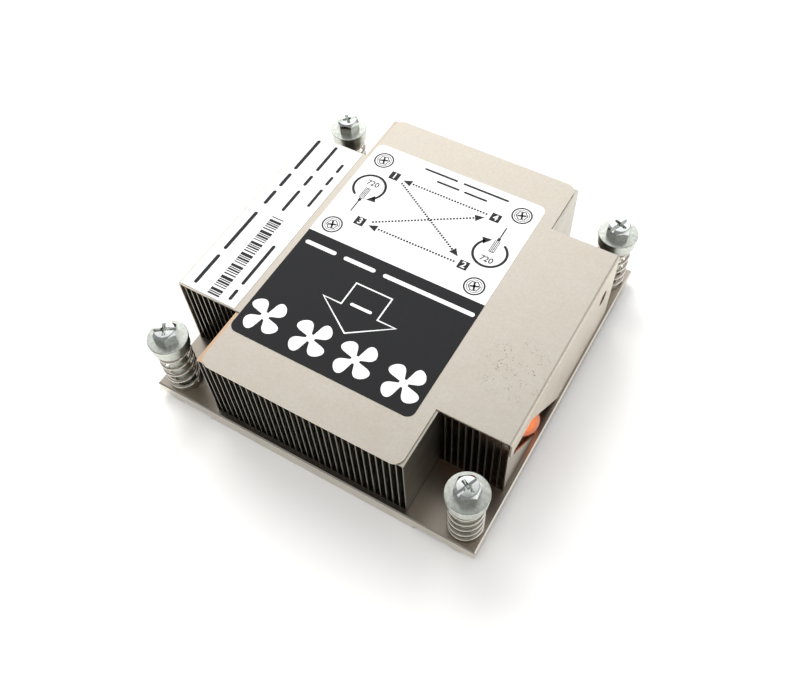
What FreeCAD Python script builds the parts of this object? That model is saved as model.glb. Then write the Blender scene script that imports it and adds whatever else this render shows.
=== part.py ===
import FreeCAD, Part
import math
import os

from FreeCAD import Matrix, Vector

os.makedirs("parts", exist_ok=True)

# Passive heatsink for a server processor with an 80 x 80 mm screw pattern.
# Millimetres. +Z is up, the air runs along Y through the gaps between the fins.
# The origin is the centre of the contact face, on the underside of the base's thick centre block.

# ---- base plate
plate_w = 90.0            # X
plate_d = 90.0            # Y
block_w = 58.6            # width of the thick centre block
plate_top = 4.8           # thickness over the centre block
edge_t = 3.1              # thickness of the thinner flanks
plate_chamfer = 0.3       # broken edge round the top face
screw_dx = 80.0           # screw pattern
screw_dy = 80.0

# ---- fin stack
fin_t = 0.3               # sheet thickness
fin_pitch = 1.68
main_fins = 32
wing_fins = 10            # on each side
main_len = 87.3           # length of the long fins along Y
wing_len = 57.2           # length of the short fins
stack_top = 27.7          # top of the fins
fin_gap = 0.02            # between a fin's fold and the next fin's web

# ---- cover sheet
cover_t = 0.4
cover_left = 25.9         # half width of the long part, to the left and to the right
cover_right = 26.3
cover_len = 88.4
cover_corner_r = 2.5
panel_gap = 0.12          # between the outermost fold and the side panel
panel_bend_r = 0.7        # outer radius of the fold to the side panels
window_edge = 4.9         # underside of the top sheet to the horizontal edge of the panel's window
window_flat = 10.5        # length of that edge, from the panel's end
pipe_window_r = 2.0       # round hole in the panel over the pipe's end
pipe_recess = 1.0         # pipe's end behind the panel

# ---- heat pipes
pipe_r = 3.0
pipe_flat_w = 7.2         # flattened leg in the base
pipe_flat_h = 4.0
low_y = 5.6               # distance of the flattened leg from the middle of the base
low_z = 3.6               # centre height of the pipe where its bend starts
high_y = 21.6             # round leg
high_z = 19.7
bend_apex = 44.4          # outermost point of the bend along X
flat_len = 53.6           # length of the flattened part
pipe_fit = 0.05           # between pipe and fin hole
hole_sides = 6            # the fins' pipe holes and the slots' ends are flat-sided, to stay light
slot_fit = 0.6            # between the bend and the slanted slots of the wing fins
groove_fit = 0.05         # between the flattened leg and its groove
relief_fit = 0.5          # round the part of the bend that dips into the base

# ---- captive screws
boss_r = 4.9              # round boss under the flank of the plate
boss_clear = 0.2          # boss end above the contact face
seat_r = 4.75             # shallow spot face that seats the spring
seat_depth = 0.15
floor_t = 1.85            # web between spot face and boss pocket
pocket_r = 3.5            # pocket for the retaining ring
shoulder_r = 2.4
hole_fit = 0.2            # radial, round the shoulder
thread_r = 2.0
tip_clear = 0.3           # thread end above the contact face
ring_t = 0.6
ring_or = 3.1
groove_r = 1.9            # bottom of the ring groove, between shoulder and thread
ring_fit = 0.05
ring_mouth = 2.6          # width of the ring's open side
flange_r = 4.95
flange_t = 0.7
flange_top = 22.5
head_af = 5.4             # hexagon across flats
head_h = 3.3
top_r = 2.1               # flat top of the head, inside its turned cone
cone_h = 1.0
slot_w = 1.1              # slot right across the head
slot_depth = 1.2
screw_turn = (48, 66, 36, 65)   # how far each screw happens to be turned, degrees
collar_r = 4.7
collar_h = 2.7
collar_fit = 0.08         # running fit round the shoulder
collar_face = 0.02        # between the collar and the flange
spring_od = 8.5
wire_d = 0.8
spring_turns = 4          # active turns between the closed end turns
turn_steps = 8            # straight lengths in one turn of the wire
wire_sides = 4
end_gap = 0.06            # between the wires of a closed end turn
spring_face = 0.02        # between the spring's ends and its seats

# ---- label and sticker
label_t = 0.1
label_left = 25.7
label_right = 22.8
label_front = 33.4
label_back = 34.0
label_r = 2.0
sticker_inner = 27.6      # from the middle plane to the sticker's inner edge
sticker_margin = 0.3      # to the edges of the wing

# ---- derived sizes
stack_w = fin_pitch * (main_fins + 2 * wing_fins)
main_w = fin_pitch * main_fins
panel_in = stack_w / 2 + panel_gap
panel_out = panel_in + cover_t
cover_top = stack_top + cover_t
edge_z = plate_top - edge_t
bend_dy = high_y - low_y
bend_dz = high_z - low_z
bend_r = math.hypot(bend_dy, bend_dz) / 2
bend_x = bend_apex - pipe_r - bend_r
slope = math.degrees(math.atan2(bend_dz, bend_dy))
seat_z = plate_top - seat_depth
floor_z = seat_z - floor_t
flange_z = flange_top - flange_t
collar_z = flange_z - collar_h
spring_r = (spring_od - wire_d) / 2
hole_r = shoulder_r + hole_fit
half_x = screw_dx / 2
half_y = screw_dy / 2


def box(x0, x1, y0, y1, z0, z1):
    return Part.makeBox(x1 - x0, y1 - y0, z1 - z0, Vector(x0, y0, z0))


def rod(r, x, y, z0, z1):
    return Part.makeCylinder(r, z1 - z0, Vector(x, y, z0))


def along_x(r, x0, x1, y, z):
    return Part.makeCylinder(r, x1 - x0, Vector(x0, y, z), Vector(1, 0, 0))


def sided(r, n, x0, x1, y, z):
    """A prism along X with n flat sides, each at distance r from its middle line."""
    out = r / math.cos(math.pi / n)
    turn = [2 * math.pi * (i + 0.5) / n for i in range(n)]
    points = [(x0, y + out * math.cos(a), z + out * math.sin(a)) for a in turn]
    return prism(points, (x1 - x0, 0, 0))


def prism(points, way):
    wire = Part.makePolygon([Vector(*p) for p in points] + [Vector(*points[0])])
    return Part.Face(wire).extrude(Vector(*way))


def half_turn(shape):
    """The same piece on the other side: turned 180 degrees about Z."""
    return shape.copy().rotated(Vector(0, 0, 0), Vector(0, 0, 1), 180)


def edges_where(shape, test):
    return [e for e in shape.Edges if test(e.BoundBox)]


def save(shape, node):
    solid = shape.Solids[0] if len(shape.Solids) == 1 else shape
    solid.exportStep("parts/" + node + ".step")
    print(node, "valid" if solid.isValid() else "NOT VALID", len(shape.Solids), round(solid.Volume, 3))


# ---- heat pipe: round leg, U-bend in a slanted plane, flattened leg
def stadium(x, y, z, w, h):
    """Flattened pipe section across X: two half circles joined by two flats."""
    f = (w - h) / 2
    a = Vector(x, y - f, z - h / 2)
    b = Vector(x, y + f, z - h / 2)
    c = Vector(x, y + f, z + h / 2)
    d = Vector(x, y - f, z + h / 2)
    right = Part.Arc(b, Vector(x, y + f + h / 2, z), c)
    left = Part.Arc(d, Vector(x, y - f - h / 2, z), a)
    edges = [Part.makeLine(a, b), right.toShape(), Part.makeLine(c, d), left.toShape()]
    return Part.Wire(edges)


def ring_wire(r, x, y, z):
    return Part.Wire([Part.makeCircle(r, Vector(x, y, z), Vector(1, 0, 0))])


flat_z = plate_top - pipe_flat_h / 2
flat_x1 = main_w / 2
flat_x0 = flat_x1 - flat_len
pipe_end = -panel_in + pipe_recess


def heat_pipe():
    flat = Part.Face(stadium(flat_x0, -low_y, flat_z, pipe_flat_w, pipe_flat_h))
    flat = flat.extrude(Vector(flat_len + 1, 0, 0))
    start = along_x(pipe_r, flat_x1, bend_x, -low_y, low_z)
    section = Part.Face(ring_wire(pipe_r, bend_x, -low_y, low_z))
    mid = Vector(bend_x, -(low_y + high_y) / 2, (low_z + high_z) / 2)
    # the bend's axis is square to X and to the line between the two legs
    axis = Vector(0, bend_dz, bend_dy)
    bend = section.revolve(mid, axis, 180)
    if bend.BoundBox.XMax < bend_apex - 0.1:
        bend = section.revolve(mid, axis, -180)
    leg = along_x(pipe_r, pipe_end, bend_x, -high_y, high_z)
    return flat.fuse([start, bend, leg]).removeSplitter()


pipe_front = heat_pipe()
pipe_back = half_turn(pipe_front)
save(pipe_front, "heat_pipe_front")
save(pipe_back, "heat_pipe_back")


# ---- base plate
def screw_places():
    """Corner places in the order in which the screws are tightened."""
    return [(-half_x, half_y), (half_x, -half_y), (-half_x, -half_y), (half_x, half_y)]


def bend_dip():
    """How far the bend reaches along X and Y while its surface is still below the plate's top."""
    far_x = bend_x
    far_y = low_y
    for i in range(0, 91, 2):
        for j in range(0, 360, 5):
            t = math.radians(i)
            f = math.radians(j)
            out = bend_r + pipe_r * math.cos(f)
            along = -out * math.cos(t)
            s = math.sin(math.radians(slope))
            c = math.cos(math.radians(slope))
            z = (low_z + high_z) / 2 + along * s - pipe_r * math.sin(f) * c
            y = (low_y + high_y) / 2 + along * c + pipe_r * math.sin(f) * s
            if z < plate_top:
                far_x = max(far_x, bend_x + out * math.sin(t))
                far_y = max(far_y, y)
    return far_x, far_y


def pipe_groove():
    """Pocket for a flattened leg, open at the top, with the relief for the bend at its outer end."""
    w = pipe_flat_w / 2 + groove_fit
    z0 = plate_top - pipe_flat_h - groove_fit
    bed = Part.Face(stadium(flat_x0 - 0.5, -low_y, flat_z, 2 * w, pipe_flat_h + 2 * groove_fit))
    bed = bed.extrude(Vector(flat_len + 0.5, 0, 0))
    top = box(flat_x0 - 0.5, flat_x1, -low_y - w, -low_y + w, flat_z, plate_top + 1)
    low = low_z - pipe_r - 0.1
    wide = pipe_flat_w / 2 + 0.3
    pocket = box(flat_x1 - 0.2, block_w / 2 + 0.5, -low_y - wide, -low_y + wide, low, plate_top + 1)
    reach, side = bend_dip()
    reach += relief_fit
    side += relief_fit
    slot = box(block_w / 2, reach, -side, -low_y + wide, edge_z - 1, plate_top + 1)
    outer = edges_where(slot, lambda b: b.XMin > reach - 0.01 and b.ZLength > 1)
    slot = slot.makeFillet(2.5, outer)
    return [bed, top, pocket, slot]


def base_plate():
    w = plate_w / 2
    b = block_w / 2
    y = -plate_d / 2
    profile = [(-w, y, edge_z), (-b, y, edge_z), (-b, y, 0), (b, y, 0), (b, y, edge_z),
               (w, y, edge_z), (w, y, plate_top), (-w, y, plate_top)]
    body = prism(profile, (0, plate_d, 0))
    rim = edges_where(body, lambda k: k.ZMin > plate_top - 0.01)
    body = body.makeChamfer(plate_chamfer, rim)
    bosses = [rod(boss_r, x, y, boss_clear, plate_top - 1) for x, y in screw_places()]
    body = body.fuse(bosses).removeSplitter()
    cuts = pipe_groove()
    cuts += [half_turn(c) for c in pipe_groove()]
    for x, y in screw_places():
        cuts.append(rod(seat_r, x, y, seat_z, plate_top + 1))
        cuts.append(rod(pocket_r, x, y, boss_clear - 1, floor_z))
        cuts.append(rod(hole_r, x, y, 0, plate_top))
    return body.cut(cuts)


plate = base_plate()
save(plate, "base_plate")


# ---- fins
def fin(x, length, tip_gap):
    """A sheet with its web's right face at x and both edges folded to the left, to the next fin."""
    left = x - fin_pitch + tip_gap
    y = -length / 2
    t = fin_t
    z0 = plate_top
    z1 = stack_top
    outline = [(left, y, z0), (x, y, z0), (x, y, z1), (left, y, z1), (left, y, z1 - t),
               (x - t, y, z1 - t), (x - t, y, z0 + t), (left, y, z0 + t)]
    return prism(outline, (0, length, 0))


def wing(x_first):
    """Ten short fins with their folds against each other, so that they are one block."""
    sheets = [fin(x_first + fin_pitch * (i + 1), wing_len, 0.0) for i in range(wing_fins)]
    return sheets[0].fuse(sheets[1:]).removeSplitter()


def slanted_slot(x0, x1):
    """Way of the U-bend through the wing: from the round leg down to the base, open at the bottom."""
    w = pipe_r + slot_fit
    run = math.hypot(bend_dy, bend_dz) + 4 * w
    slot = box(x0, x1, -w, w, -run, 0)
    # the box hangs straight down, and is turned to the slope of the bend about the round leg
    slot = slot.rotated(Vector(0, 0, 0), Vector(1, 0, 0), 90 - slope)
    slot = slot.translated(Vector(0, -high_y, high_z))
    return slot.fuse(sided(w, hole_sides, x0, x1, -high_y, high_z)).removeSplitter()


def leg_hole(x0, x1, side):
    return sided(pipe_r + pipe_fit, hole_sides, x0, x1, side * high_y, high_z)


right_x = main_w / 2
far_x = stack_w / 2 + 1
right = wing(right_x)
right = right.cut([slanted_slot(right_x - 1, far_x), leg_hole(right_x - 1, far_x, 1)])
left = wing(-stack_w / 2)
left = left.cut([half_turn(slanted_slot(right_x - 1, far_x)), leg_hole(-far_x, -right_x + 1, -1)])
save(right, "right_wing_fins")
save(left, "left_wing_fins")

legs = [leg_hole(-far_x, far_x, -1), leg_hole(-far_x, far_x, 1)]
for i in range(main_fins):
    sheet = fin(-main_w / 2 + fin_pitch * (i + 1), main_len, fin_gap)
    if i == 0:
        # the first sheet has a second web, which closes the end of the row
        left = -main_w / 2 + fin_gap
        end_web = box(left, left + fin_t, -main_len / 2, main_len / 2, plate_top, stack_top)
        sheet = sheet.fuse(end_web).removeSplitter()
    sheet = sheet.cut(legs)
    save(sheet, "main_fin_%02d" % (i + 1))


# ---- cover: one cross-shaped sheet, its side arms folded down to the plate
def cover():
    z0 = stack_top
    z1 = cover_top
    y = cover_len / 2
    w = wing_len / 2
    long_part = box(-cover_left, cover_right, -y, y, z0, z1)
    corners = edges_where(long_part, lambda b: b.ZLength > cover_t / 2)
    long_part = long_part.makeFillet(cover_corner_r, corners)
    o = panel_out
    n = panel_in
    arch = [(-o, -w, plate_top), (-o, -w, z1), (o, -w, z1), (o, -w, plate_top),
            (n, -w, plate_top), (n, -w, z0), (-n, -w, z0), (-n, -w, plate_top)]
    arms = prism(arch, (0, wing_len, 0))
    outer = edges_where(arms, lambda b: b.ZMin > z1 - 0.01 and b.YLength > 1 and b.XLength < 0.1)
    arms = arms.makeFillet(panel_bend_r, outer)
    sheet = long_part.fuse(arms).removeSplitter()
    # window in the right panel's front half: the bend shows through it
    top = z0 - window_edge
    cut = [(n - 1, -w - 1, plate_top - 1), (n - 1, -w - 1, top), (n - 1, -w + window_flat, top)]
    run = (top - plate_top + 1) * bend_dy / bend_dz
    cut.append((n - 1, -w + window_flat + run, plate_top - 1))
    window = prism(cut, (cover_t + 2, 0, 0))
    hole = along_x(pipe_window_r, n - 1, o + 1, high_y, high_z)
    return sheet.cut([window, half_turn(window), hole, half_turn(hole)])


sheet = cover()
save(sheet, "top_cover")

# ---- label and sticker
label = box(-label_left, label_right, -label_front, label_back, cover_top, cover_top + label_t)
label = label.makeFillet(label_r, edges_where(label, lambda b: b.ZLength > label_t / 2))
save(label, "guide_label")
wing_y = wing_len / 2 - sticker_margin
wing_x = panel_out - panel_bend_r
sticker = box(-wing_x, -sticker_inner, -wing_y, wing_y, cover_top, cover_top + label_t)
save(sticker, "wing_sticker")


# ---- captive screws, at each corner the same set
def turned(points):
    """A body of revolution about Z from (radius, height) points."""
    wire = Part.makePolygon([Vector(r, 0, z) for r, z in points] + [Vector(points[0][0], 0, points[0][1])])
    return Part.Face(wire).revolve(Vector(0, 0, 0), Vector(0, 0, 1), 360)


ring_z1 = floor_z - 0.1
ring_z0 = ring_z1 - ring_t
groove_z0 = ring_z0 - ring_fit
groove_z1 = ring_z1 + ring_fit
thread_z0 = tip_clear


def screw():
    s = shoulder_r
    f = flange_r
    profile = [(0, thread_z0), (thread_r, thread_z0), (thread_r, groove_z0), (groove_r, groove_z0),
               (groove_r, groove_z1), (s, groove_z1), (s, flange_z), (f, flange_z),
               (f, flange_top), (0, flange_top)]
    body = turned(profile)
    corner = head_af / 2 / math.cos(math.radians(30))
    points = []
    for i in range(6):
        a = math.radians(60 * i + 30)
        points.append((corner * math.cos(a), corner * math.sin(a), flange_top))
    head = prism(points, (0, 0, head_h))
    # the corners of the head are turned to a cone
    top = flange_top + head_h
    cone = turned([(0, flange_top), (corner, flange_top), (corner, top - cone_h), (top_r, top), (0, top)])
    head = head.common(cone)
    body = body.fuse(head)
    slot = box(-corner, corner, -slot_w / 2, slot_w / 2, top - slot_depth, top + 0.1)
    return body.cut(slot)


def collar():
    """Spring seat: a thick ring under the flange."""
    bore = shoulder_r + collar_fit
    top = flange_z - collar_face
    return turned([(bore, top), (collar_r, top), (collar_r, collar_z), (bore, collar_z)])


def retaining_ring():
    ring = rod(ring_or, 0, 0, ring_z0, ring_z1).cut(rod(groove_r + ring_fit, 0, 0, ring_z0 - 1, ring_z1 + 1))
    mouth = box(0, ring_or + 1, -ring_mouth / 2, ring_mouth / 2, ring_z0 - 1, ring_z1 + 1)
    return ring.cut(mouth)


def spring():
    """Compression spring with a closed turn at each end: a sided wire swept in short straight lengths."""
    z0 = seat_z + spring_face + wire_d / 2
    z1 = collar_z - spring_face - wire_d / 2
    close = wire_d + end_gap
    rise = (z1 - z0 - 2 * close) / spring_turns
    points = []
    for k in range((spring_turns + 2) * turn_steps + 1):
        t = k / turn_steps
        a = 2 * math.pi * t
        z = z0 + close * min(t, 1) + rise * min(max(t - 1, 0), spring_turns)
        z += close * max(t - 1 - spring_turns, 0)
        points.append(Vector(spring_r * math.cos(a), spring_r * math.sin(a), z))
    section = []
    for i in range(wire_sides + 1):
        a = 2 * math.pi * (i + 0.5) / wire_sides
        out = wire_d / 2
        section.append(Vector(spring_r + out * math.cos(a), 0, z0 + out * math.sin(a)))
    path = Part.makePolygon(points)
    return path.makePipeShell([Part.makePolygon(section)], True, False, 1)


one_screw = screw()
one_collar = collar()
one_ring = retaining_ring()
one_spring = spring()
for n, (x, y) in enumerate(screw_places()):
    place = Vector(x, y, 0)
    turned_screw = one_screw.rotated(Vector(0, 0, 0), Vector(0, 0, 1), screw_turn[n])
    save(turned_screw.translated(place), "screw_%d" % (n + 1))
    save(one_collar.translated(place), "collar_%d" % (n + 1))
    save(one_ring.translated(place), "ring_%d" % (n + 1))
    save(one_spring.translated(place), "spring_%d" % (n + 1))
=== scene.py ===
# %% [markdown]
# # A passive heatsink for a server processor
#
# The real object is a stack of thin folded fins on a plated base. A cross-shaped cover sheet lies on the
# fins, two copper pipes carry heat from the base up through the stack, and a sprung screw waits in each
# corner. The metal parts come ready from the engineering model, at their true size and place, so this file
# gives them their finishes, makes the parts that a solid modeller draws badly (coiled wire, print), and
# builds the small studio around them.

import bmesh
import bpy
import numpy as np
from mathutils import Matrix, Vector


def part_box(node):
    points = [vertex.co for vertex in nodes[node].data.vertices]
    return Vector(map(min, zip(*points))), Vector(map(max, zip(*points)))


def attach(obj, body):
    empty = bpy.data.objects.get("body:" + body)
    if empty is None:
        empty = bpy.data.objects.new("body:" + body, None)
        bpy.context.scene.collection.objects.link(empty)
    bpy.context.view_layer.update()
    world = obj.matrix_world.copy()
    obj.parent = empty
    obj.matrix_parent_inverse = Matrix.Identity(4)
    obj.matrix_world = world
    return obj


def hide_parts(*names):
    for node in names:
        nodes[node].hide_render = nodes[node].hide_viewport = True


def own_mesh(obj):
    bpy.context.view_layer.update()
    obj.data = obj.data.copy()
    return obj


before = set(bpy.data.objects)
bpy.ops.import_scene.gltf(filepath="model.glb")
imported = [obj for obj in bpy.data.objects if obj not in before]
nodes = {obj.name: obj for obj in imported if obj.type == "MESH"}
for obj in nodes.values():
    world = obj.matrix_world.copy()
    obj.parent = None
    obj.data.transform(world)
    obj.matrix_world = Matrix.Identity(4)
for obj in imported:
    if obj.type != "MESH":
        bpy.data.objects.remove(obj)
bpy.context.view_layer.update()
MM = 0.001

# %% [markdown]
# ## Two small helpers for finishes
#
# A finish is a small network of shader nodes. Colours are easiest to choose as the hex values that a
# screen shows, but a renderer mixes light in linear values, so one function converts them. A second one
# adds a node, sets its own settings, and fills its inputs with either a value or another node's output.

# %% Colour and node helpers


def linear(code, alpha=1.0):
    """sRGB hex to linear RGBA: each channel c becomes c/12.92 below 0.04045, else ((c+0.055)/1.055)^2.4."""
    c = np.array([int(code[i:i + 2], 16) for i in (1, 3, 5)]) / 255
    c = np.where(c <= 0.04045, c / 12.92, ((c + 0.055) / 1.055) ** 2.4)
    return (*c.tolist(), alpha)


def add(tree, kind, inputs=None, **settings):
    """Adds one node: settings are its own options, inputs are values or outputs to link, by name or
    number."""
    made = tree.nodes.new(kind)
    for name, value in settings.items():
        setattr(made, name, value)
    for name, value in (inputs or {}).items():
        if isinstance(value, bpy.types.NodeSocket):
            tree.links.new(value, made.inputs[name])
        else:
            made.inputs[name].default_value = value
    return made


def put(name, data):
    """A new object in the scene that shows this mesh, lamp, camera or text."""
    made = bpy.data.objects.new(name, data)
    bpy.context.scene.collection.objects.link(made)
    return made


def start(name):
    """An empty material with its output node; each finish below fills it."""
    material = bpy.data.materials.new(name)
    material.use_nodes = True
    tree = material.node_tree
    tree.nodes.clear()
    return material, tree, tree.nodes.new("ShaderNodeOutputMaterial")


def wear(material, *names):
    """Gives the named pieces this one finish."""
    for name in names:
        nodes[name].data.materials.clear()
        nodes[name].data.materials.append(material)
    print(material.name, "on", len(names), "pieces")


print("beige in linear values:", [round(v, 3) for v in linear("#d8d0c2")])

# %% [markdown]
# ## The camera
#
# The object is looked at from above its front right corner: 34 degrees round from the front, 56 degrees
# up, from 22 cm away, with the camera rolled a little. Aiming with a direction and a roll keeps the numbers
# readable, and needs no helper object in the scene.

# %% Place the camera
eye = (0.07003, -0.10552, 0.18875)
forward = Vector((-0.30813, 0.45751, -0.83411))
roll_deg = -4.14
camera = put("camera", bpy.data.cameras.new("camera"))
camera.data.sensor_width = 36
camera.data.lens = 38.64
camera.data.clip_start = 0.005
turn = forward.to_track_quat("-Z", "Y").to_matrix().to_4x4() @ Matrix.Rotation(np.radians(roll_deg), 4, "Z")
camera.matrix_world = Matrix.Translation(eye) @ turn
bpy.context.scene.camera = camera
print("camera at", [round(v, 4) for v in camera.location], "lens", camera.data.lens)

# %% [markdown]
# ## A pale studio
#
# Bare metal has hardly any colour of its own: it shows the room. A product table with white paper all
# round gives even light and soft shadows, and a wide window low behind and to the left makes metal that
# faces up grow brighter towards the back. The window is drawn in the room's brightness, by how close a
# direction lies to the window's, and so is a pale wall on the right. The lamps give the paper and the
# print their light and shadow; metal does not mirror them. The camera itself, and only the camera, sees
# pure white paper.

# %% World
window_way = (-0.50, 0.75, 0.43)
wall_way = (0.94, 0.20, 0.12)
world = bpy.data.worlds.new("white_paper_room")
bpy.context.scene.world = world
world.use_nodes = True
tree = world.node_tree
tree.nodes.clear()
out = tree.nodes.new("ShaderNodeOutputWorld")
where = add(tree, "ShaderNodeTexCoord")
toward = add(tree, "ShaderNodeVectorMath", {0: where.outputs["Generated"], 1: window_way},
             operation="DOT_PRODUCT")
window = add(tree, "ShaderNodeMapRange", {0: toward.outputs["Value"], 1: 0.60, 2: 0.95, 3: 0.28, 4: 1.70})
sideways = add(tree, "ShaderNodeVectorMath", {0: where.outputs["Generated"], 1: wall_way},
               operation="DOT_PRODUCT")
wall = add(tree, "ShaderNodeMapRange", {0: sideways.outputs["Value"], 1: 0.55, 2: 0.90, 3: 0.0, 4: 0.80})
bright = add(tree, "ShaderNodeMath", {0: window.outputs[0], 1: wall.outputs[0]}, operation="ADD")
room = add(tree, "ShaderNodeBackground", {"Color": linear("#fbfcff"), "Strength": bright.outputs[0]})
paper = add(tree, "ShaderNodeBackground", {"Color": linear("#ffffff"), "Strength": 1.0})
light_path = add(tree, "ShaderNodeLightPath")
world_mix = add(tree, "ShaderNodeMixShader",
                {0: light_path.outputs["Is Camera Ray"], 1: room.outputs[0], 2: paper.outputs[0]})
tree.links.new(world_mix.outputs[0], out.inputs[0])
print("room of", len(tree.nodes), "nodes")

# %% Lamps
lamps = {"window": ((-0.36, 0.30, 0.56), 0.5, 3.0), "ceiling": ((0.0, -0.25, 0.9), 1.0, 4.4)}
for name, (place, width, watts) in lamps.items():
    lamp = bpy.data.lights.new(name, "AREA")
    lamp.shape = "DISK"
    lamp.size = width
    lamp.energy = watts
    lamp.color = linear("#fffdf9")[:3]
    holder = put(name, lamp)
    holder.location = place
    holder.rotation_euler = (Vector((0, 0, 0.01)) - Vector(place)).to_track_quat("-Z", "Y").to_euler()
    holder.visible_glossy = False
print("lamps:", ", ".join(lamps))

# %% Floor
half_side = 1.5
under = 0.1 * MM
sheet = bpy.data.meshes.new("table")
sheet.from_pydata([(x * half_side, y * half_side, 0) for x, y in ((-1, -1), (1, -1), (1, 1), (-1, 1))],
                  [], [(0, 1, 2, 3)])
table = put("table", sheet)
table.location.z = -under
paper_white, tree, out = start("table_paper")
diffuse = add(tree, "ShaderNodeBsdfDiffuse", {"Color": linear("#f7f7f6")})
place = add(tree, "ShaderNodeTexCoord").outputs["Object"]
middle = add(tree, "ShaderNodeVectorMath", {0: place}, operation="LENGTH")
beyond = add(tree, "ShaderNodeMapRange", {0: middle.outputs["Value"], 1: 0.12, 2: 0.9, 3: 0.06, 4: 0.75})
glow = add(tree, "ShaderNodeEmission", {"Color": (1, 1, 1, 1), "Strength": beyond.outputs[0]})
seen = add(tree, "ShaderNodeLightPath")
both = add(tree, "ShaderNodeAddShader", {0: diffuse.outputs[0], 1: glow.outputs[0]})
show = add(tree, "ShaderNodeMixShader",
           {0: seen.outputs["Is Camera Ray"], 1: diffuse.outputs[0], 2: both.outputs[0]})
tree.links.new(show.outputs[0], out.inputs[0])
sheet.materials.append(paper_white)
print("table", 2 * half_side, "m wide,", paper_white.name)

# %% [markdown]
# ## Satin nickel plate: the cover sheet
#
# The cover is thin sheet, nickel plated: a warm, beige grey metal with a satin face. Rolled sheet keeps a
# faint cloudiness a few millimetres across and a very fine grain, which two noise patterns draw. Nickel is
# a metal, so it has no coat and no other IOR; its colour tints what it mirrors, and a middling roughness
# spreads it. A small patch of pits, where the plate is attacked, sits on the right wing.

# %% Cover finish
nickel_sheet, tree, out = start("satin_nickel_plated_sheet")
place = add(tree, "ShaderNodeTexCoord").outputs["Object"]
cloud = add(tree, "ShaderNodeTexNoise",
            {"Vector": place, "Scale": 1 / (7 * MM), "Detail": 3.0, "Roughness": 0.55})
grain = add(tree, "ShaderNodeTexNoise", {"Vector": place, "Scale": 1 / (0.7 * MM), "Detail": 2.0})
tint = add(tree, "ShaderNodeValToRGB", {0: cloud.outputs["Fac"]})
for stop, at, code in zip(tint.color_ramp.elements, (0.30, 0.72), ("#d6cdbd", "#e0d8ca")):
    stop.position, stop.color = at, linear(code)
fine = add(tree, "ShaderNodeMapRange", {0: grain.outputs["Fac"], 1: 0.3, 2: 0.7, 3: 0.955, 4: 1.03})
shade = add(tree, "ShaderNodeVectorMath", {0: tint.outputs[0], 1: fine.outputs[0]}, operation="MULTIPLY")
pit_cells = add(tree, "ShaderNodeTexVoronoi", {"Vector": place, "Scale": 1 / (0.55 * MM)}, feature="F1")
pit_dots = add(tree, "ShaderNodeMapRange",
               {0: pit_cells.outputs["Distance"], 1: 0.16, 2: 0.34, 3: 1.0, 4: 0.0})
patch_middle = (37 * MM, -11 * MM, 28.1 * MM)
from_patch = add(tree, "ShaderNodeVectorMath", {0: place, 1: patch_middle}, operation="DISTANCE")
patch = add(tree, "ShaderNodeMapRange",
            {0: from_patch.outputs["Value"], 1: 4 * MM, 2: 10 * MM, 3: 1.0, 4: 0.0})
rare = add(tree, "ShaderNodeTexNoise", {"Vector": place, "Scale": 1 / (2.2 * MM), "Detail": 1.0})
some = add(tree, "ShaderNodeMapRange", {0: rare.outputs["Fac"], 1: 0.44, 2: 0.58, 3: 0.0, 4: 1.0})
dots = add(tree, "ShaderNodeMath", {0: pit_dots.outputs[0], 1: patch.outputs[0]}, operation="MULTIPLY")
pits = add(tree, "ShaderNodeMath", {0: dots.outputs[0], 1: some.outputs[0]}, operation="MULTIPLY")
pit_mix = add(tree, "ShaderNodeMix",
              {0: pits.outputs[0], 6: shade.outputs[0], 7: linear("#7d735f")}, data_type="RGBA")
rough = add(tree, "ShaderNodeMapRange", {0: cloud.outputs["Fac"], 1: 0.3, 2: 0.7, 3: 0.40, 4: 0.47})
dent = add(tree, "ShaderNodeMath", {0: grain.outputs["Fac"], 1: pits.outputs[0]}, operation="SUBTRACT")
bump = add(tree, "ShaderNodeBump", {"Strength": 0.12, "Distance": 0.02 * MM, "Height": dent.outputs[0]})
plate = add(tree, "ShaderNodeBsdfPrincipled",
            {"Base Color": pit_mix.outputs[2], "Metallic": 1.0, "Roughness": rough.outputs[0],
             "Normal": bump.outputs[0]})
tree.links.new(plate.outputs[0], out.inputs[0])
wear(nickel_sheet, "top_cover")

# %% [markdown]
# ## Plated fins
#
# The fins are 0.3 mm sheet with the same plating. Between them the light has to bounce many times to come
# back, and loses some each time, so the gaps turn dark by themselves. Faces that look along Y, the cut front
# edges, are painted darker: painted shade. The fins also turn darker towards their bottom.

# %% Fin finish
fin_plate, tree, out = start("nickel_plated_fin_sheet")
place = add(tree, "ShaderNodeTexCoord").outputs["Object"]
streak = add(tree, "ShaderNodeMapping", {"Vector": place, "Scale": (1.0, 0.12, 1.0)})
rolled = add(tree, "ShaderNodeTexNoise",
             {"Vector": streak.outputs[0], "Scale": 1 / (1.2 * MM), "Detail": 3.0})
tint = add(tree, "ShaderNodeValToRGB", {0: rolled.outputs["Fac"]})
for stop, at, code in zip(tint.color_ramp.elements, (0.3, 0.7), ("#b5afa2", "#c9c3b6")):
    stop.position, stop.color = at, linear(code)
bump = add(tree, "ShaderNodeBump", {"Strength": 0.1, "Distance": 0.02 * MM, "Height": rolled.outputs["Fac"]})
high = add(tree, "ShaderNodeSeparateXYZ", {0: place}).outputs["Z"]
# The fins turn darker towards their bottom, from 5.6 mm down to 5.1 mm.
near_bottom = add(tree, "ShaderNodeMapRange", {0: high, 1: 5.1 * MM, 2: 5.6 * MM, 3: 0.8, 4: 0.0})
darker_low = add(tree, "ShaderNodeMix",
            {0: near_bottom.outputs[0], 6: tint.outputs[0], 7: linear("#3a352e")}, data_type="RGBA")
facing = add(tree, "ShaderNodeSeparateXYZ", {0: add(tree, "ShaderNodeNewGeometry").outputs["True Normal"]})
# Faces that look along Y, the cut front edges, are painted darker: painted shade.
looks_along_y = add(tree, "ShaderNodeMath", {0: facing.outputs["Y"]}, operation="ABSOLUTE")
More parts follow.
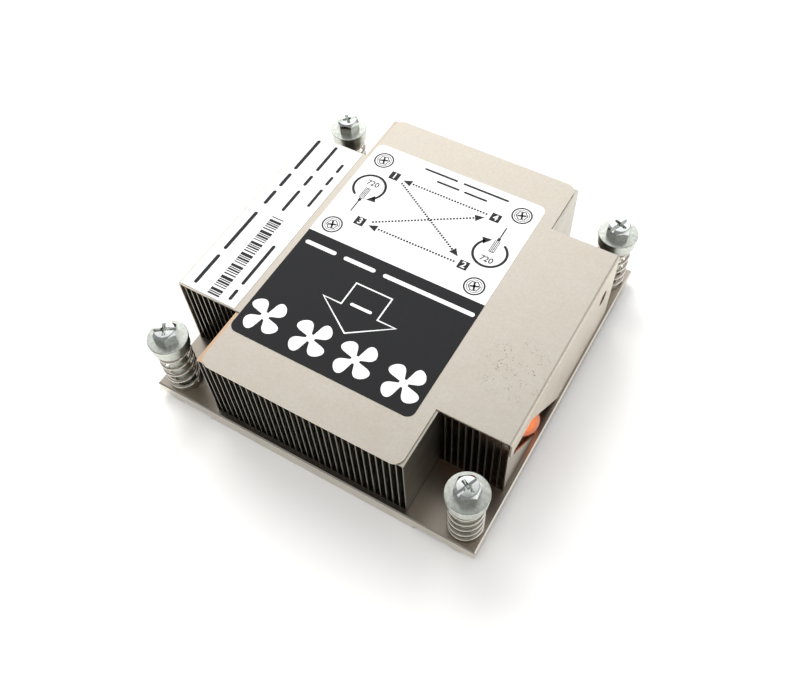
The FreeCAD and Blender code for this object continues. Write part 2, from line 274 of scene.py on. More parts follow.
painted_edge_shade = add(tree, "ShaderNodeMapRange", {0: looks_along_y.outputs[0], 1: 0.7, 2: 0.9, 3: 0.0, 4: 0.75})
edge_shaded_tint = add(tree, "ShaderNodeMix",
            {0: painted_edge_shade.outputs[0], 6: darker_low.outputs[2], 7: linear("#57524a")}, data_type="RGBA")
sheet_metal = add(tree, "ShaderNodeBsdfPrincipled",
                  {"Base Color": edge_shaded_tint.outputs[2], "Metallic": 1.0, "Roughness": 0.30,
                   "Normal": bump.outputs[0]})
tree.links.new(sheet_metal.outputs[0], out.inputs[0])
fins = [name for name in nodes if name.startswith("main_fin")] + ["left_wing_fins", "right_wing_fins"]
wear(fin_plate, *fins)

# %% [markdown]
# The first sheet of the row lies bare beside the cover's edge. The soldering oven has given its plating a
# straw colour there, so it wears its own warmer version of the fin finish.

# %% Straw-coloured end fin
straw_fin = fin_plate.copy()
straw_fin.name = "oven_tinted_fin_sheet"
tree = straw_fin.node_tree
place = add(tree, "ShaderNodeTexCoord").outputs["Object"]
high = add(tree, "ShaderNodeSeparateXYZ", {0: place}).outputs["Z"]
along = add(tree, "ShaderNodeSeparateXYZ", {0: place}).outputs["Y"]
near_top = add(tree, "ShaderNodeMapRange", {0: high, 1: 26.5 * MM, 2: 27.5 * MM, 3: 0.0, 4: 0.7})
in_front = add(tree, "ShaderNodeMapRange", {0: along, 1: -22 * MM, 2: 10 * MM, 3: 1.0, 4: 0.25})
tinted = add(tree, "ShaderNodeMath", {0: near_top.outputs[0], 1: in_front.outputs[0]}, operation="MULTIPLY")
shader = next(n for n in tree.nodes if n.type == "BSDF_PRINCIPLED")
old = shader.inputs["Base Color"].links[0].from_socket
warm = add(tree, "ShaderNodeMix", {0: tinted.outputs[0], 6: old, 7: linear("#e0b48a")}, data_type="RGBA")
tree.links.new(warm.outputs[2], shader.inputs["Base Color"])
wear(straw_fin, "main_fin_01")

# %% [markdown]
# ## Bright nickel plate: the base
#
# The base is milled copper under bright nickel. Its sides stay pale. Faces that look up are more satin, and
# they are painted browner and darker: painted shade. Noise pulled out along one direction draws the milling,
# and only the bump sees it.

# %% Base finish
nickel_base, tree, out = start("bright_nickel_plated_base")
place = add(tree, "ShaderNodeTexCoord").outputs["Object"]
along = add(tree, "ShaderNodeMapping", {"Vector": place, "Scale": (0.06, 1.0, 1.0)})
milled = add(tree, "ShaderNodeTexNoise",
             {"Vector": along.outputs[0], "Scale": 1 / (0.35 * MM), "Detail": 3.0})
cloud = add(tree, "ShaderNodeTexNoise", {"Vector": place, "Scale": 1 / (9 * MM), "Detail": 3.0})
tint = add(tree, "ShaderNodeValToRGB", {0: cloud.outputs["Fac"]})
for stop, at, code in zip(tint.color_ramp.elements, (0.3, 0.7), ("#d3cbbf", "#dfd8cc")):
    stop.position, stop.color = at, linear(code)
facing = add(tree, "ShaderNodeSeparateXYZ", {0: add(tree, "ShaderNodeNewGeometry").outputs["True Normal"]})
# Faces that look up are more satin, and their browner, darker tint is painted shade.
top_satin_and_shade = add(tree, "ShaderNodeMapRange", {0: facing.outputs["Z"], 1: 0.85, 2: 0.95, 3: 0.0, 4: 1.0})
top_shaded_tint = add(tree, "ShaderNodeMix",
            {0: top_satin_and_shade.outputs[0], 6: tint.outputs[0], 7: linear("#b2a99c")}, data_type="RGBA")
rough = add(tree, "ShaderNodeMapRange", {0: top_satin_and_shade.outputs[0], 3: 0.16, 4: 0.30})
bump = add(tree, "ShaderNodeBump", {"Strength": 0.05, "Distance": 0.01 * MM, "Height": milled.outputs["Fac"]})
plated = add(tree, "ShaderNodeBsdfPrincipled",
             {"Base Color": top_shaded_tint.outputs[2], "Metallic": 1.0, "Roughness": rough.outputs[0],
              "Normal": bump.outputs[0]})
tree.links.new(plated.outputs[0], out.inputs[0])
wear(nickel_base, "base_plate")

# %% [markdown]
# ## Bare copper: the heat pipes
#
# The pipes are drawn copper tube left bare. Clean copper is a strong orange pink metal; handling and the
# soldering oven leave slightly browner clouds on it, and drawing leaves fine lines along the tube.

# %% Pipe finish
copper, tree, out = start("bare_drawn_copper_tube")
place = add(tree, "ShaderNodeTexCoord").outputs["Object"]
cloud = add(tree, "ShaderNodeTexNoise", {"Vector": place, "Scale": 1 / (3 * MM), "Detail": 4.0})
tint = add(tree, "ShaderNodeValToRGB", {0: cloud.outputs["Fac"]})
for stop, at, code in zip(tint.color_ramp.elements, (0.32, 0.66), ("#f4763a", "#ff9652")):
    stop.position, stop.color = at, linear(code)
rough = add(tree, "ShaderNodeMapRange", {0: cloud.outputs["Fac"], 1: 0.3, 2: 0.7, 3: 0.34, 4: 0.24})
bump = add(tree, "ShaderNodeBump", {"Strength": 0.1, "Distance": 0.02 * MM, "Height": cloud.outputs["Fac"]})
tube = add(tree, "ShaderNodeBsdfPrincipled",
           {"Base Color": tint.outputs[0], "Metallic": 1.0, "Roughness": rough.outputs[0],
            "Normal": bump.outputs[0]})
tree.links.new(tube.outputs[0], out.inputs[0])
wear(copper, "heat_pipe_front", "heat_pipe_back")

# %% [markdown]
# ## Zinc-plated screws and their collars
#
# The screws are steel with bright zinc, which is whiter and bluer than nickel. The tumbled plating has
# small dents, so its mirror image is broken up. The washer face under the head is satin, since it was the
# contact in the barrel, and the collar is as dull. The finish changes at the height where the head begins.

# %% Screw finish
head_from = 22.55 * MM
zinc, tree, out = start("bright_zinc_plated_steel")
place = add(tree, "ShaderNodeTexCoord").outputs["Object"]
tumbled = add(tree, "ShaderNodeTexNoise", {"Vector": place, "Scale": 1 / (0.9 * MM), "Detail": 3.0})
tint = add(tree, "ShaderNodeValToRGB", {0: tumbled.outputs["Fac"]})
for stop, at, code in zip(tint.color_ramp.elements, (0.3, 0.7), ("#dfe3de", "#f2f4f0")):
    stop.position, stop.color = at, linear(code)
bump = add(tree, "ShaderNodeBump",
           {"Strength": 0.10, "Distance": 0.02 * MM, "Height": tumbled.outputs["Fac"]})
height = add(tree, "ShaderNodeSeparateXYZ", {0: place}).outputs["Z"]
above = add(tree, "ShaderNodeMath", {0: height, 1: head_from}, operation="GREATER_THAN")
rolled_edge = add(tree, "ShaderNodeValToRGB", {0: tumbled.outputs["Fac"]})
for stop, at, code in zip(rolled_edge.color_ramp.elements, (0.35, 0.65), ("#c6cbc0", "#e2e5db")):
    stop.position, stop.color = at, linear(code)
both = add(tree, "ShaderNodeMix",
           {0: above.outputs[0], 6: rolled_edge.outputs[0], 7: tint.outputs[0]}, data_type="RGBA")
rough = add(tree, "ShaderNodeMapRange", {0: above.outputs[0], 3: 0.34, 4: 0.12})
steel = add(tree, "ShaderNodeBsdfPrincipled",
            {"Base Color": both.outputs[2], "Metallic": 1.0, "Roughness": rough.outputs[0],
             "Normal": bump.outputs[0]})
tree.links.new(steel.outputs[0], out.inputs[0])
print(zinc.name, "made, the head starts at", round(head_from / MM, 2), "mm")

# %% Collar finish
dull_zinc, tree, out = start("dull_zinc_plated_collar")
place = add(tree, "ShaderNodeTexCoord").outputs["Object"]
speck = add(tree, "ShaderNodeTexNoise", {"Vector": place, "Scale": 1 / (0.6 * MM), "Detail": 3.0})
tint = add(tree, "ShaderNodeValToRGB", {0: speck.outputs["Fac"]})
for stop, at, code in zip(tint.color_ramp.elements, (0.3, 0.7), ("#c3c7bf", "#dadcd4")):
    stop.position, stop.color = at, linear(code)
bump = add(tree, "ShaderNodeBump", {"Strength": 0.2, "Distance": 0.02 * MM, "Height": speck.outputs["Fac"]})
matt = add(tree, "ShaderNodeBsdfPrincipled",
           {"Base Color": tint.outputs[0], "Metallic": 1.0, "Roughness": 0.36, "Normal": bump.outputs[0]})
tree.links.new(matt.outputs[0], out.inputs[0])
print(dull_zinc.name, "made")

# %% Spring and ring finish
wire_steel, tree, out = start("drawn_stainless_spring_wire")
place = add(tree, "ShaderNodeTexCoord").outputs["Object"]
drawn = add(tree, "ShaderNodeTexNoise", {"Vector": place, "Scale": 1 / (0.4 * MM), "Detail": 2.0})
tint = add(tree, "ShaderNodeValToRGB", {0: drawn.outputs["Fac"]})
for stop, at, code in zip(tint.color_ramp.elements, (0.3, 0.7), ("#c9c2b8", "#dfd9d0")):
    stop.position, stop.color = at, linear(code)
wire = add(tree, "ShaderNodeBsdfPrincipled",
           {"Base Color": tint.outputs[0], "Metallic": 1.0, "Roughness": 0.16})
tree.links.new(wire.outputs[0], out.inputs[0])
wear(wire_steel, *[f"ring_{n}" for n in (1, 2, 3, 4)])

# %% [markdown]
# ## The springs
#
# A compression spring is one drawn wire wound on a rod, with its last turn at each end closed flat so that
# it stands square. It could be a curve object with a round bevel, but then its frame twists at the steep
# places. Here the surface is worked out directly: one parameter runs along the wire, the other round it.

# %% Wind one spring


def tube_faces(rows, around):
    """Quads between neighbouring rows of a grid that closes on itself: point j of row i has the number
    i * around + j, and the last point of each row is joined to its first."""
    i, j = np.meshgrid(np.arange(rows - 1), np.arange(around), indexing="ij")
    k = (j + 1) % around
    corners = [i * around + j, i * around + k, (i + 1) * around + k, (i + 1) * around + j]
    return np.stack(corners, -1).reshape(-1, 4)


def coil(x, y, foot, top, radius, wire, active, per_turn=56, sides=14):
    """A round wire along a helix: its centre is at angle 2 pi t round the axis and at height h(t), where h
    climbs by one wire thickness in the first and last turn and evenly between them; the wall of the wire
    is that centre plus wire/2 times (cos f outward + sin f along the wire's upward normal)."""
    turns = active + 2
    t = np.linspace(0, turns, int(turns * per_turn) + 1)
    close = wire * 1.05
    pitch = (top - foot - wire - 2 * close) / active
    slope = close + (pitch - close) * np.clip(np.minimum(t - 0.8, turns - 0.8 - t) / 0.4, 0, 1)
    h = np.concatenate([[0], np.cumsum((slope[1:] + slope[:-1]) / 2 * np.diff(t))])
    h = foot + wire / 2 + h * (top - foot - wire) / h[-1]
    a = 2 * np.pi * t
    centre = np.stack([radius * np.cos(a), radius * np.sin(a), h], 1)
    outward = np.stack([np.cos(a), np.sin(a), 0 * a], 1)
    ahead = np.gradient(centre, axis=0)
    ahead /= np.linalg.norm(ahead, axis=1)[:, None]
    normal = np.cross(outward, ahead)
    f = np.linspace(0, 2 * np.pi, sides, endpoint=False)
    ring = np.cos(f)[None, :, None] * outward[:, None] + np.sin(f)[None, :, None] * normal[:, None]
    points = (centre[:, None] + wire / 2 * ring).reshape(-1, 3)
    quads = tube_faces(len(t), sides)
    caps = [list(range(sides))[::-1], list(range((len(t) - 1) * sides, len(t) * sides))]
    mesh = bpy.data.meshes.new("coil")
    mesh.from_pydata((points + (x, y, 0)).tolist(), [], quads[:, ::-1].tolist() + [c[::-1] for c in caps])
    mesh.polygons.foreach_set("use_smooth", [True] * len(quads) + [False, False])
    return mesh


coil_radius, wire_thick, active_turns = 3.85 * MM, 0.8 * MM, 4
for n in (1, 2, 3, 4):
    low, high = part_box(f"spring_{n}")
    middle = (low + high) / 2
    mesh = coil(middle.x, middle.y, low.z, high.z, coil_radius, wire_thick, active_turns)
    spring = put(f"wound_spring_{n}", mesh)
    mesh.materials.append(wire_steel)
    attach(spring, "heatsink")
    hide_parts(f"spring_{n}")
    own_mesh(spring)
print("spring height", round((high.z - low.z) * 1000, 2), "mm,", len(mesh.polygons), "faces each")

# %% [markdown]
# ## Collars and screws
#
# A collar is a thick ring and the screw's shank is a turned rod, so both are a profile spun round an axis.
# Plated edges are never quite sharp: each profile corner gets a small arc before it is spun. The thread is
# drawn as rings at its 0.7 mm pitch, which look like the real helix at this size.

# %% Spin a profile


def rounded(corners, steps=5):
    """Rounds each corner (r, z, radius) of a profile: the arc starts and ends where a circle of that radius
    touches the two runs, and follows the quadratic curve through those ends towards the corner."""
    c = np.asarray(corners, float)
    line = [c[:1, :2]]
    for before, here, after in zip(c[:-2], c[1:-1], c[2:]):
        if here[2] == 0:
            line.append(here[None, :2])
            continue
        back, on = before[:2] - here[:2], after[:2] - here[:2]
        back, on = back / np.linalg.norm(back), on / np.linalg.norm(on)
        reach = here[2] / np.tan(np.arccos(np.clip(back @ on, -1, 1)) / 2)
        t = np.linspace(0, 1, steps)[:, None]
        a, b = here[:2] + back * reach, here[:2] + on * reach
        line.append((1 - t) ** 2 * a + 2 * t * (1 - t) * here[:2] + t ** 2 * b)
    line.append(c[-1:, :2])
    return np.vstack(line)


def spun(profile, around=72, start_deg=0.0):
    """Point (r, z) of the profile becomes (r cos a, r sin a, z) for each angle a; the ends are closed by the
    profile itself, which starts and ends on the axis or where it began."""
    p = np.asarray(profile, float)
    a = np.linspace(0, 2 * np.pi, around, endpoint=False) + np.radians(start_deg)
    r, z = p.T
    grid = np.stack([np.outer(r, np.cos(a)), np.outer(r, np.sin(a)), np.outer(z, np.ones(around))], -1)
    mesh = bpy.data.meshes.new("spun")
    mesh.from_pydata(grid.reshape(-1, 3).tolist(), [], tube_faces(len(p), around).tolist())
    shell = bmesh.new()
    shell.from_mesh(mesh)
    bmesh.ops.remove_doubles(shell, verts=shell.verts, dist=1e-6)
    shell.to_mesh(mesh)
    shell.free()
    return mesh


def finished(name, mesh, material, body, stands_for):
    """Smooths edges up to 32 degrees, gives the finish, and puts the piece on its body in place of the
    engineering one."""
    mesh.materials.clear()
    mesh.materials.append(material)
    mesh.polygons.foreach_set("use_smooth", [True] * len(mesh.polygons))
    mesh.set_sharp_from_angle(angle=np.radians(32))
    piece = put(name, mesh)
    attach(piece, body)
    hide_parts(stands_for)


print("one rounded corner turns 3 points into", len(rounded([(0, 0, 0), (1, 0, 0.2), (1, 1, 0)])))

# %% Collars
bore = 2.48
edge_low, edge_high = 0.3, 0.35
for n in (1, 2, 3, 4):
    low, high = (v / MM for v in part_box(f"collar_{n}"))
    middle, r = (low + high) / 2, (high.x - low.x) / 2
    outline = [(bore, low.z + 0.01, 0), (r - 1, low.z, 0), (r, low.z, edge_low), (r, high.z, edge_high),
               (bore, high.z, 0), (bore, low.z + 0.01, 0)]
    mesh = spun(rounded(outline))
    mesh.transform(Matrix.Scale(MM, 4) @ Matrix.Translation((middle.x, middle.y, 0)))
    finished(f"turned_collar_{n}", mesh, dull_zinc, f"seat_{n}", f"collar_{n}")
print("collar radius", round(r, 2), "mm, height", round(high.z - low.z, 2), "mm")

# %% [markdown]
# ### The head
#
# The head is a hexagon with a turned cone at its top, a slot right across it and a cross recess in the
# middle, so that either driver fits. It could be drawn face by face, but it is made as the real one is: a
# hexagonal bar, turned to a cone, then struck with a punch. Boolean modifiers do that with plain solids.

# %% Forge the head


def struck(blank, tool, how):
    """Blank and tool meshes in, the result of one exact boolean out."""
    pair = [put("work", m) for m in (blank, tool)]
    change = pair[0].modifiers.new("punch", "BOOLEAN")
    change.operation, change.solver, change.object = how, "EXACT", pair[1]
    result = bpy.data.meshes.new_from_object(pair[0].evaluated_get(bpy.context.evaluated_depsgraph_get()))
    for one in pair:
        bpy.data.objects.remove(one)
    return result


def wedge(length, width, depth, top, narrow, turn_deg=0):
    """A punch: a box across the head whose length shrinks by the factor narrow at the bottom."""
    y = np.array([-1, 1, 1, -1]) * width / 2
    x = np.array([-1, -1, 1, 1]) * length / 2
    lower = np.stack([x * narrow, y * (0.5 + narrow / 2), np.full(4, top - depth)], 1)
    upper = np.stack([x, y, np.full(4, top + 0.5)], 1)
    mesh = bpy.data.meshes.new("wedge")
    faces = [(0, 1, 2, 3), (7, 6, 5, 4), (0, 4, 5, 1), (1, 5, 6, 2), (2, 6, 7, 3), (3, 7, 4, 0)]
    mesh.from_pydata(np.vstack([lower, upper]).tolist(), [], faces)
    mesh.transform(Matrix.Rotation(np.radians(turn_deg), 4, "Z"))
    return mesh


low, high = (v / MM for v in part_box("screw_1"))
flange_r = (high.x - low.x) / 2
top = high.z
head_high, half_flats = 3.3, 2.7
flange_top = top - head_high
corner = half_flats / np.cos(np.radians(30))
bar_foot = flange_top - 0.02
bar = spun([(0, bar_foot), (corner, bar_foot), (corner, top), (0, top)], around=6, start_deg=30)
cone = spun(rounded([(0, flange_top - 1, 0), (corner + 0.2, flange_top - 1, 0), (corner + 0.2, top - 1.0, 0),
                     (2.4, top - 0.1, 0.4), (0, top, 0)]))
head = struck(bar, cone, "INTERSECT")
slot_punch = wedge(9, 1.0, 1.0, top, 1.0)
cross_punches = wedge(3.3, 1.0, 1.9, top, 0.45), wedge(4.2, 0.95, 1.7, top, 0.4, 90)
for punch in (slot_punch, *cross_punches):
    head = struck(head, punch, "DIFFERENCE")
print("head", len(head.polygons), "faces, top at", round(top, 2), "mm")

# %% Shank and flange
tip, half_pitch = 0.3, 0.35
crest_r, root_r, groove_r, shoulder_r = 1.98, 1.66, 1.9, 2.4
flange_foot = flange_top - 0.7
z = np.arange(tip, 2.05, half_pitch)
thread = np.stack([np.where(np.arange(len(z)) % 2, crest_r, root_r), z, 0 * z], 1)
shank = [(0, tip, 0), *thread.tolist(), (groove_r, 2.06, 0), (groove_r, 2.75, 0), (shoulder_r, 2.78, 0),
         (shoulder_r, flange_foot, 0), (flange_r, flange_foot, 0.12), (flange_r, flange_top, 0.2),
         (0, flange_top - 0.01, 0)]
rod = spun(rounded(shank))
for n, turned_deg in zip((1, 2, 3, 4), (48, 66, 36, 65)):
    low, high = (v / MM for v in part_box(f"screw_{n}"))
    middle = (low + high) / 2
    whole = bmesh.new()
    whole.from_mesh(rod)
    whole.from_mesh(head)
    mesh = bpy.data.meshes.new("screw")
    whole.to_mesh(mesh)
    whole.free()
    mesh.transform(Matrix.Scale(MM, 4) @ Matrix.Translation((middle.x, middle.y, 0))
                   @ Matrix.Rotation(np.radians(turned_deg), 4, "Z"))
    finished(f"forged_screw_{n}", mesh, zinc, f"fastener_{n}", f"screw_{n}")
print("screws", len(mesh.polygons), "faces each")

# %% [markdown]
# ## Label and sticker
#
# The big label is a printed plastic film: one half white, the other black, with a plain tightening guide.
# The film's two halves are one material whose colour switches at a straight line. The print is a thin
# layer of ink shapes that lie just above it. A painted texture would blur close up, but real outlines
# stay sharp at any size.

# %% Film and paper
black_to, white_from = 0.35 * MM, 0.41 * MM
film, tree, out = start("printed_polyester_film")
place = add(tree, "ShaderNodeTexCoord").outputs["Object"]
side = add(tree, "ShaderNodeSeparateXYZ", {0: place}).outputs["Y"]
edge = add(tree, "ShaderNodeMapRange", {0: side, 1: black_to, 2: white_from, 3: 0.0, 4: 1.0})
mottle = add(tree, "ShaderNodeTexNoise", {"Vector": place, "Scale": 1 / (0.5 * MM), "Detail": 3.0})
ink = add(tree, "ShaderNodeMix",
          {0: mottle.outputs["Fac"], 6: linear("#151516"), 7: linear("#1c1c1e")}, data_type="RGBA")
halves = add(tree, "ShaderNodeMix",
             {0: edge.outputs[0], 6: ink.outputs[2], 7: linear("#f4f5f6")}, data_type="RGBA")
bump = add(tree, "ShaderNodeBump", {"Strength": 0.06, "Distance": 0.02 * MM, "Height": mottle.outputs["Fac"]})
foil = add(tree, "ShaderNodeBsdfPrincipled",
           {"Base Color": halves.outputs[2], "Roughness": 0.6, "IOR": 1.42, "Normal": bump.outputs[0]})
tree.links.new(foil.outputs[0], out.inputs[0])
wear(film, "guide_label")

coated, tree, out = start("coated_white_paper")
place = add(tree, "ShaderNodeTexCoord").outputs["Object"]
fibre = add(tree, "ShaderNodeTexNoise", {"Vector": place, "Scale": 1 / (0.8 * MM), "Detail": 4.0})
tone = add(tree, "ShaderNodeMix",
           {0: fibre.outputs["Fac"], 6: linear("#f0f1f2"), 7: linear("#f9f9fa")}, data_type="RGBA")
bump = add(tree, "ShaderNodeBump", {"Strength": 0.08, "Distance": 0.02 * MM, "Height": fibre.outputs["Fac"]})
sticky = add(tree, "ShaderNodeBsdfPrincipled",
             {"Base Color": tone.outputs[2], "Roughness": 0.6, "Normal": bump.outputs[0]})
tree.links.new(sticky.outputs[0], out.inputs[0])
wear(coated, "wing_sticker")

# %% Inks


def ink_material(name, code, rough):
    """Flat printing ink: a plain colour with the faint mottle of a printed dot screen."""
    material, tree, out = start(name)
    place = add(tree, "ShaderNodeTexCoord").outputs["Object"]
    screen = add(tree, "ShaderNodeTexNoise", {"Vector": place, "Scale": 1 / (0.3 * MM), "Detail": 2.0})
    level = add(tree, "ShaderNodeMapRange", {0: screen.outputs["Fac"], 1: 0.3, 2: 0.7, 3: 0.94, 4: 1.0})
    colour = add(tree, "ShaderNodeVectorMath", {0: linear(code)[:3], 1: level.outputs[0]},
                 operation="MULTIPLY")
    coat = add(tree, "ShaderNodeBsdfPrincipled", {"Base Color": colour.outputs[0], "Roughness": rough})
    tree.links.new(coat.outputs[0], out.inputs[0])
    return material


black_ink = ink_material("black_printing_ink", "#1a1a1c", 0.6)
white_ink = ink_material("white_printing_ink", "#f6f7f8", 0.55)
print("inks:", black_ink.name, "and", white_ink.name)

# %% [markdown]
# ## Drawing the print
#
# Every mark is a strip or a patch in the plane of the label, in millimetres. A strip follows a line of
# points at a given width, a patch fills an outline. Both are collected per ink and become one thin mesh.

# %% Outlines and strips
marks = {"black": [], "white": []}


def patch_of(ink, outline):
    """Keeps a closed outline, which becomes one flat face."""
    marks[ink].append((np.asarray(outline, float), "patch"))


def strip_of(ink, line, width, closed=False):
    """A band of constant width: each point moves half a width to either side, along the mitre of its two
    runs."""
    p = np.asarray(line, float)
    before = np.roll(p, 1, 0) if closed else np.vstack([2 * p[0] - p[1], p[:-1]])
    after = np.roll(p, -1, 0) if closed else np.vstack([p[1:], 2 * p[-1] - p[-2]])
    a = (p - before) / np.linalg.norm(p - before, axis=1)[:, None]
    b = (after - p) / np.linalg.norm(after - p, axis=1)[:, None]
    na = np.stack([-a[:, 1], a[:, 0]], 1)
    nb = np.stack([-b[:, 1], b[:, 0]], 1)
    m = na + nb
    m *= (width / np.maximum((m * na).sum(1), 0.3) / 2)[:, None]
    marks[ink].append((np.stack([p + m, p - m], 1), "closed" if closed else "open"))


def circle(x, y, r, start_deg=0, end_deg=360, n=40):
    """Points on an arc, by angle from the X axis."""
    a = np.radians(np.linspace(start_deg, end_deg, n, endpoint=(end_deg - start_deg) < 359.9))
    return np.stack([x + r * np.cos(a), y + r * np.sin(a)], 1)


def arrow_head(ink, tip, way, length, width):
    """A triangle with its tip at tip, pointing along way."""
    way = np.asarray(way, float) / np.linalg.norm(way)
    side = np.array([-way[1], way[0]]) * width / 2
    base = np.asarray(tip, float) - way * length
    patch_of(ink, [tip, base + side, base - side])


print("marks will be drawn in", " and ".join(marks))

# %% [markdown]
# ### The tightening guide
#
# Four hexagon screws, four numbered squares and the dotted path from one to the next. Two open rings with a
# screwdriver stand for the turning.

# %% Screw signs and the dotted path
for x, y in ((-21.5, 29.1), (18.3, 28.9), (-21.5, 4.2), (18.1, 4.1)):
    strip_of("black", circle(x, y, 2.45), 0.40, closed=True)
    strip_of("black", circle(x, y, 1.85), 0.16, closed=True)
    strip_of("black", circle(x, y, 1.45, 15, 375, n=6), 0.24, closed=True)
    for a in (20, 110):
        w = 1.1 * np.array([np.cos(np.radians(a)), np.sin(np.radians(a))])
        strip_of("black", [(x - w[0], y - w[1]), (x + w[0], y + w[1])], 0.5)
half_square = 1.3
squares = {"1": (-16.2, 25.6), "4": (12.9, 25.2), "3": (-16.0, 8.35), "2": (12.9, 8.4)}
for x, y in squares.values():
    patch_of("black", np.array([(-1, -1), (1, -1), (1, 1), (-1, 1)]) * half_square + (x, y))
paths = [((10.6, 25.3), (-13.5, 25.3)), ((-13.4, 24.3), (10.5, 10.1)),
         ((10.6, 8.35), (-13.5, 8.2)), ((-13.2, 9.5), (10.5, 24.1))]
head_long, dot_step, dot_long = 2.4, 0.8, 0.5
for a, b in paths:
    a, b = np.array(a), np.array(b)
    way = (b - a) / np.linalg.norm(b - a)
    arrow_head("black", b, way, head_long, 2.1)
    count = int((np.linalg.norm(b - a) - 2.2) / dot_step)
    for k in range(count):
        dot = a + way * dot_step * k
        strip_of("black", [dot, dot + way * dot_long], 0.56)
print("screw signs, squares and paths:", len(marks["black"]), "marks")

# %% Turning rings with their driver
for x, y, tip_deg in ((-19.9, 19.2, -59.4), (16.8, 14.6, 120.6)):
    strip_of("black", circle(x, y, 4.15, tip_deg + 12, tip_deg + 300, n=60), 0.66)
    r = np.radians(tip_deg)
    tip = np.array([x + 4.2 * np.cos(r), y + 4.2 * np.sin(r)])
    arrow_head("black", tip - 0.9 * np.array([-np.sin(r), np.cos(r)]), (np.sin(r), -np.cos(r)), 2.4, 2.2)
    down = -1.0 if tip_deg < 0 else 1.0
    strip_of("black", [(x, y + down * 5.2), (x, y + down * 9.0)], 0.34)
    strip_of("black", [(x, y + down * 4.3), (x, y + down * 5.2)], 0.8)
    for off in (-0.62, -0.21, 0.21, 0.62):
        strip_of("black", [(x + off, y + down * 0.6), (x + off, y + down * 4.3)], 0.2)
    strip_of("black", [(x - 0.72, y + down * 0.5), (x + 0.72, y + down * 0.5)], 0.2)
print("marks so far", {k: len(v) for k, v in marks.items()})

# %% [markdown]
# ### Arrow, fans and dummy lines
#
# The block arrow is a plain outline. A fan sign has four blades round a hub; one blade is an egg that grows
# outwards and leans to one side of its radius. Where a real label has words, plain bars with round ends
# stand in for them, the way a page designer fills space before there is a text.

# %% Block arrow and fans
arrow = [(-6.5, -8.35), (3.3, -8.35), (3.3, -15.1), (8.2, -15.1), (-1.4, -21.75), (-11.4, -15.1),
         (-6.5, -15.1)]
strip_of("white", arrow, 0.36, closed=True)


def fan_sign(x, y, n=240):
    """One outline for hub and blades: in each direction it reaches as far out as the hub or any blade does.
    A blade holds the points whose distance along its radius is 3.0 + 2.2 c, with c from -1 to 1, and whose
    offset from its leaning middle line is under (1.7 + 0.85 c) sqrt(1 - c^2)."""
    angle = np.linspace(0, 2 * np.pi, n, endpoint=False)[:, None]
    hub, reach = 1.05, 5.6
    r = np.linspace(hub, reach, 270)[None, :]
    far = np.full(n, hub)
    for lean_deg in (42, 132, 222, 312):
        off = angle - np.radians(lean_deg)
        c = (r * np.cos(off) - 3.0) / 2.2
        half_width = (1.7 + 0.85 * c) * np.sqrt(np.clip(1 - c ** 2, 0, None))
        held = np.abs(r * np.sin(off) - 0.16 * r * np.cos(off)) < half_width
        far = np.maximum(far, np.where(held, r, 0).max(axis=1))
    return np.stack([x + far * np.cos(angle[:, 0]), y + far * np.sin(angle[:, 0])], 1)


for x in (-20.0, -7.4, 4.6, 17.0):
    patch_of("white", fan_sign(x, -26.6))
print("arrow and fans:", len(marks["white"]), "marks")

# %% Dummy lines and bars


def dummy_line(ink, begin, end, thick, words):
    """Shares a line out into bars with round ends, one for each word of so many letters, a letter apart."""
    a, b = np.asarray(begin, float), np.asarray(end, float)
    letter = (b - a) / (sum(words) + len(words) - 1)
    way = letter / np.linalg.norm(letter)
    side = np.array([-way[1], way[0]])
    turn = np.radians(np.linspace(-90, 90, 9))[:, None]
    cap = (np.cos(turn) * way + np.sin(turn) * side) * thick / 2
    at = a
    for letters in words:
        end_here = at + letter * letters
        patch_of(ink, np.vstack([end_here - way * thick / 2 + cap, at + way * thick / 2 - cap]))
        at = end_here + letter


dummy_line("white", (-24.3, -3.3), (22.1, -3.3), 1.15, (4, 4, 11))
dummy_line("white", (-4.6, -14.1), (1.2, -14.1), 0.8, (4,))
dummy_line("black", (-10.6, 31.6), (13.4, 31.6), 0.62, (6, 8))
dummy_line("black", (-5.8, 29.1), (8.6, 29.1), 0.62, (5, 5))
dummy_line("black", (-40.4, -26.8), (-40.4, -1.4), 1.0, (5, 7))
dummy_line("black", (-40.4, 1.7), (-40.4, 27.3), 1.0, (3, 3, 7))
dummy_line("black", (-35.0, 1.9), (-35.0, 27.3), 0.9, (4, 2, 5))
dummy_line("black", (-30.1, -26.9), (-30.1, -8.3), 0.9, (2, 8))
dummy_line("black", (-30.1, 6.1), (-30.1, 22.7), 0.8, (4, 2, 2))
bars = np.array([0.5, 0.3, 0.8, 0.3, 0.3, 0.6, 0.3, 0.9, 0.4, 0.3])
y = -27.6
for k in range(34):
    wide = bars[k % len(bars)]
    strip_of("black", [(-36.1, y + wide / 2), (-32.7, y + wide / 2)], wide)
    y += wide + bars[(k * 3 + 1) % len(bars)] * 0.7
print("marks", {k: len(v) for k, v in marks.items()}, "bars end at", round(y, 1))

# %% Lay the ink down


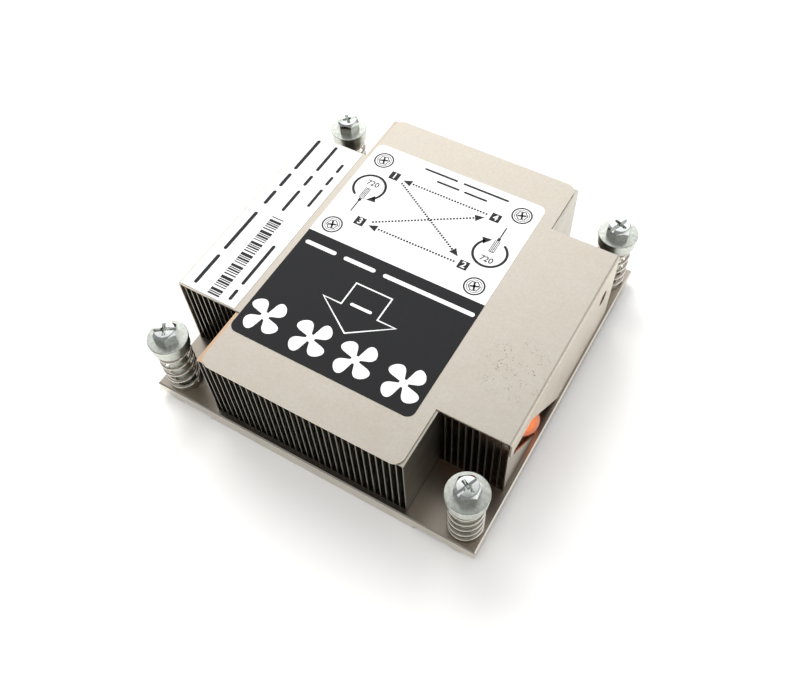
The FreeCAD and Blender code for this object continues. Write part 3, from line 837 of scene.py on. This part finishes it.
def layer(ink, z, thick):
    """Each mark becomes a thin slab. A filled outline of n points is repeated at both levels, with a top, a
    bottom and n walls; a closed band is a ring of four edges (outer low, outer high, inner high, inner low),
    each joined to the next all the way round."""
    points, faces, base = [], [], 0
    for shape, kind in marks[ink]:
        if kind != "closed":
            outline = shape if kind == "patch" else np.vstack([shape[:, 0], shape[::-1, 1]])
            x, y = outline.T
            outline = outline if (x * np.roll(y, -1) - y * np.roll(x, -1)).sum() > 0 else outline[::-1]
            rings, heights = [outline, outline], (z, z + thick)
            n, i = len(outline), np.arange(len(outline))
            faces += [(base + n + i).tolist(), (base + i[::-1]).tolist()]
            turns = 1
        else:
            wide, tight = sorted((shape[:, 0], shape[:, 1]), key=np.ptp)[::-1]
            rings, heights = [wide, wide, tight, tight], (z, z + thick, z + thick, z)
            n, i = len(shape), np.arange(len(shape))
            turns = 4
        j, k = (i + 1) % n, np.arange(turns)[:, None]
        up = (k + 1) % len(rings)
        walls = np.stack([k * n + i, k * n + j, up * n + j, up * n + i], -1).reshape(-1, 4) + base
        faces += walls.tolist()
        points += [np.column_stack([ring, np.full(n, h)]) for ring, h in zip(rings, heights)]
        base += n * len(rings)
    mesh = bpy.data.meshes.new(ink)
    mesh.from_pydata((np.vstack(points) * MM).tolist(), [], faces)
    return mesh


film_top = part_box("guide_label")[1].z / MM
sunk, ink_thick = 0.005, 0.02
for ink, material in (("black", black_ink), ("white", white_ink)):
    mesh = layer(ink, film_top - sunk, ink_thick)
    mesh.materials.append(material)
    piece = put(f"{ink}_print", mesh)
    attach(piece, "heatsink")
    print(piece.name, len(mesh.polygons), "faces")

# %% [markdown]
# ### The figures
#
# The figures come from the built-in font as flat outlines. They are turned into a mesh first and only then
# moved to their square, so that the finished piece sits at the origin like every other one.

# %% Figures
spots = [(name, "white", 2.6, place) for name, place in squares.items()]
spots += [("720", "black", 2.3, (-19.7, 20.6)), ("720", "black", 2.3, (16.9, 12.5))]
lift = {"white": 0.02, "black": 0.01}
for count, (figure, ink, tall, (x, y)) in enumerate(spots, 1):
    text = bpy.data.curves.new("figure", "FONT")
    text.body = figure
    text.size = tall * MM
    text.extrude = 0.006 * MM
    text.offset = 0.04 * MM
    text.align_x = "CENTER"
    text.align_y = "CENTER"
    carrier = put("carrier", text)
    bpy.context.view_layer.update()
    mesh = bpy.data.meshes.new_from_object(carrier.evaluated_get(bpy.context.evaluated_depsgraph_get()))
    bpy.data.objects.remove(carrier)
    mesh.transform(Matrix.Translation((x * MM, y * MM, (film_top + lift[ink]) * MM)))
    mesh.materials.clear()
    mesh.materials.append({"white": white_ink, "black": black_ink}[ink])
    piece = put(f"figure_{count}", mesh)
    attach(piece, "heatsink")
print("figures:", " ".join(spot[0] for spot in spots))

# %% [markdown]
# ## Finish
#
# The view is set to the Standard transform.

# %% View transform
bpy.context.scene.view_settings.view_transform = "Standard"
